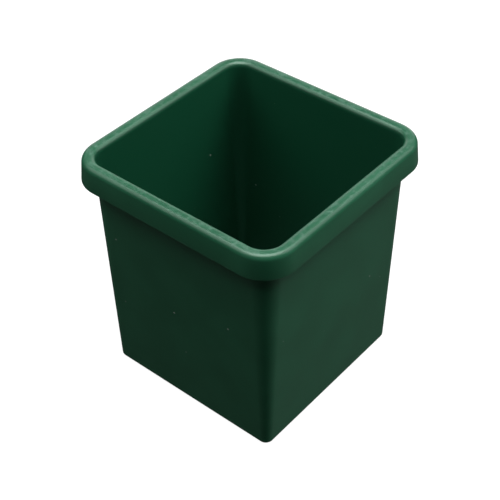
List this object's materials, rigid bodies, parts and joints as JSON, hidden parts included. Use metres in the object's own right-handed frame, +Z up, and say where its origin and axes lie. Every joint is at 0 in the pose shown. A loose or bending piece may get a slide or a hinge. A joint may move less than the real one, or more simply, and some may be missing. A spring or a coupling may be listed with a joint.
{
  "type": "florist bucket",
  "caption": "Tall square open-topped plastic bucket with gently tapering walls, coned corners and a wide turned-down rim, for holding cut flowers in water.",
  "frame": {"origin": "centre of the footprint, at the level the bucket stands on", "axes": "+Z up along the bucket's axis; -Y is the front and +X the right, though all four sides are alike"},
  "size_m": [0.2236, 0.2236, 0.238],
  "materials": {
    "bucket_plastic": "dark green satin polypropylene with a fine moulded grain"
  },
  "bodies": {
    "root": {"floor_panel": "bucket_plastic", "foot_ring": "bucket_plastic", "gate_mark": "bucket_plastic", "right_wall": "bucket_plastic", "back_wall": "bucket_plastic", "left_wall": "bucket_plastic", "front_wall": "bucket_plastic", "back_right_corner": "bucket_plastic", "back_left_corner": "bucket_plastic", "front_left_corner": "bucket_plastic", "front_right_corner": "bucket_plastic", "rim_flange": "bucket_plastic", "rim_skirt": "bucket_plastic"}
  },
  "joints": []
}
